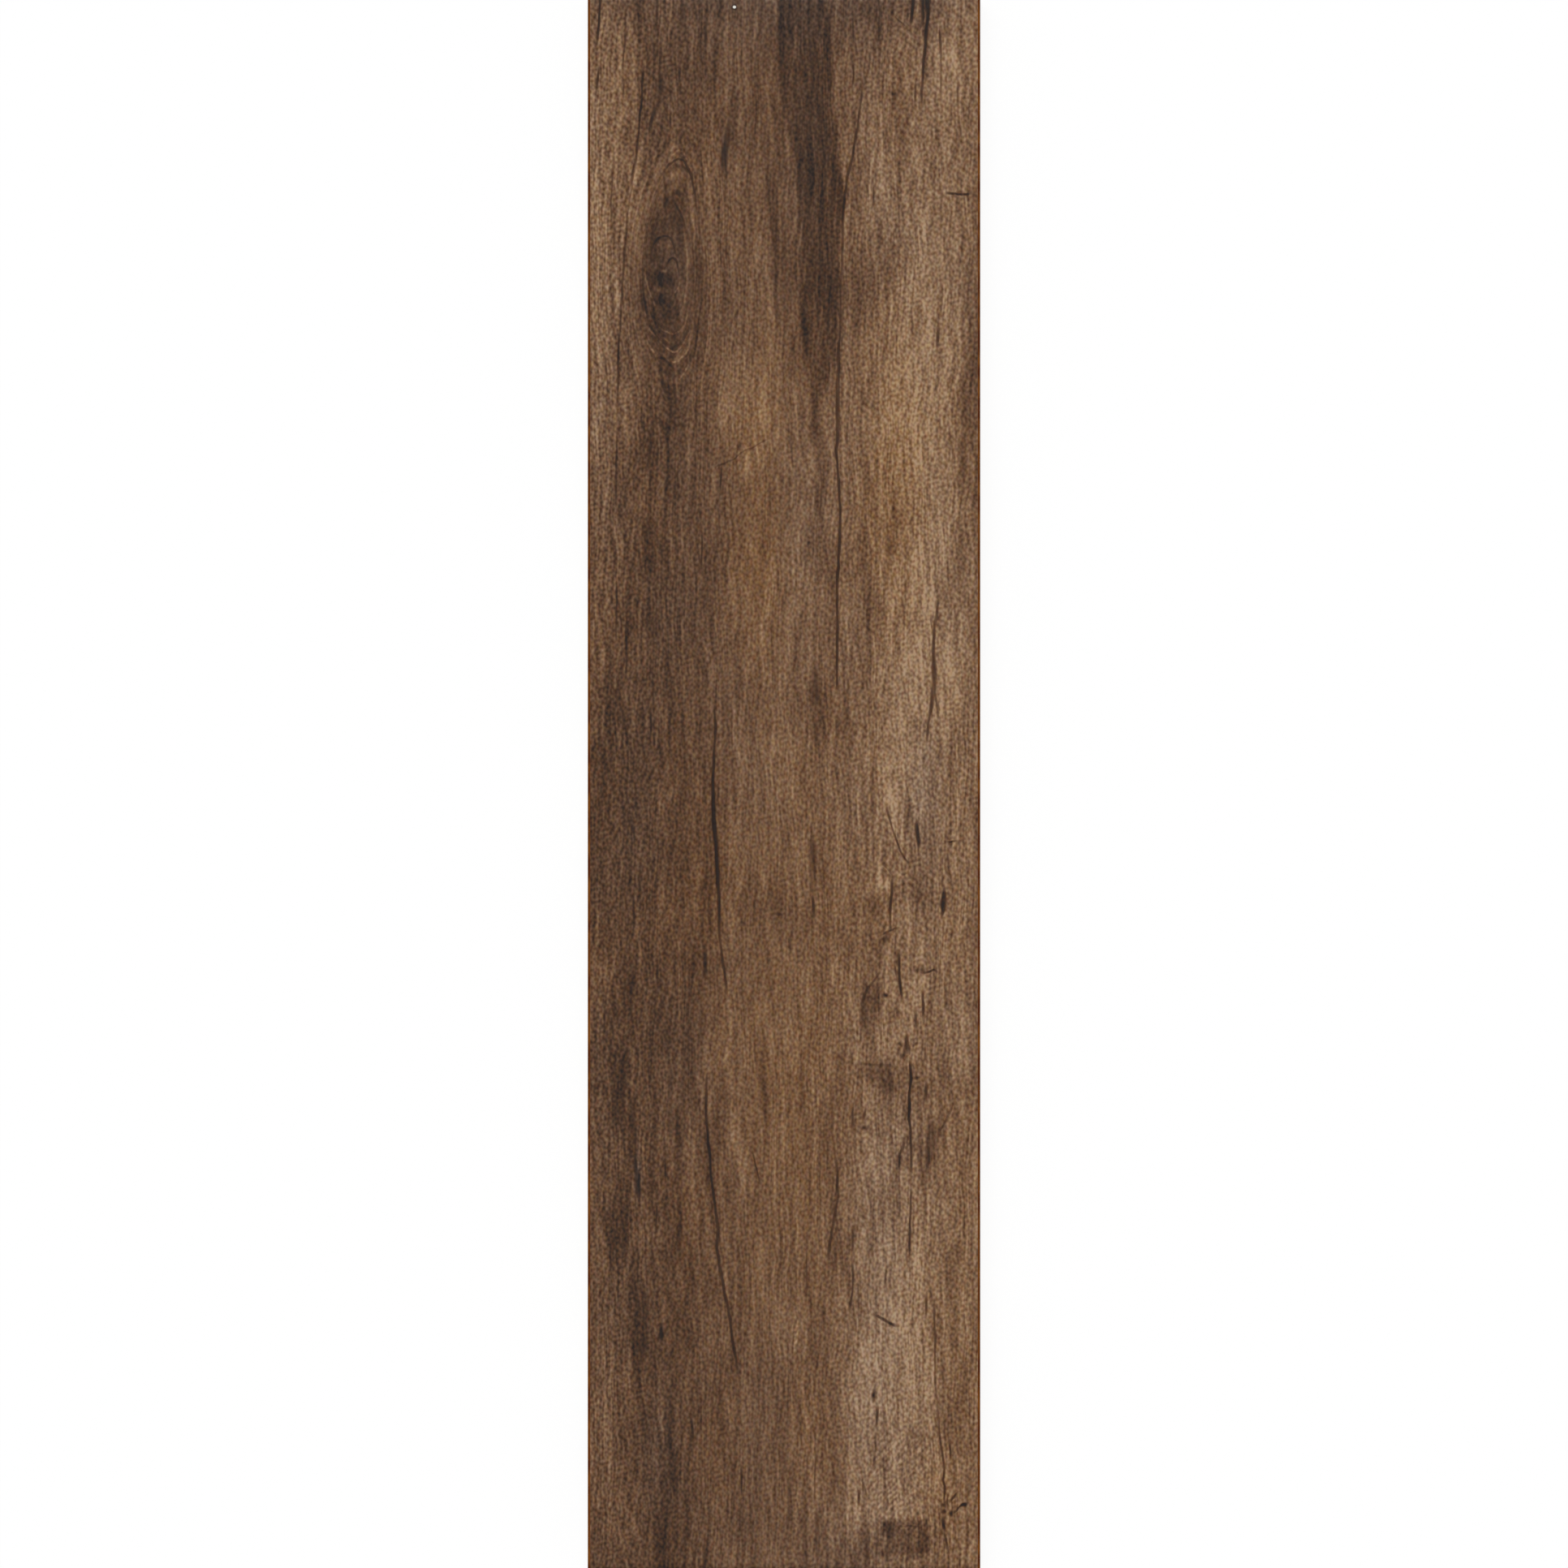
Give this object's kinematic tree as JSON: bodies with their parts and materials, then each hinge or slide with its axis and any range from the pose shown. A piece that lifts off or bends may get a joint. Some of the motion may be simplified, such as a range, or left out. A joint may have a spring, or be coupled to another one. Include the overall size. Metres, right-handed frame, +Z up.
{
  "type": "wood look porcelain plank tile",
  "caption": "Long flat porcelain floor tile with a matt wood-grain face, pillowed edges and a pocketed back that keys into adhesive.",
  "frame": {"origin": "centre of the back, on the plane that the tile rests on, where two key ribs cross", "axes": "+Z up out of the wood-grain face, +Y along the length, +X across the width"},
  "size_m": [0.15, 0.6, 0.009],
  "materials": {
    "printed_glaze": "matte"
  },
  "bodies": {
    "root": {"plank_tile": "printed_glaze"}
  },
  "joints": []
}
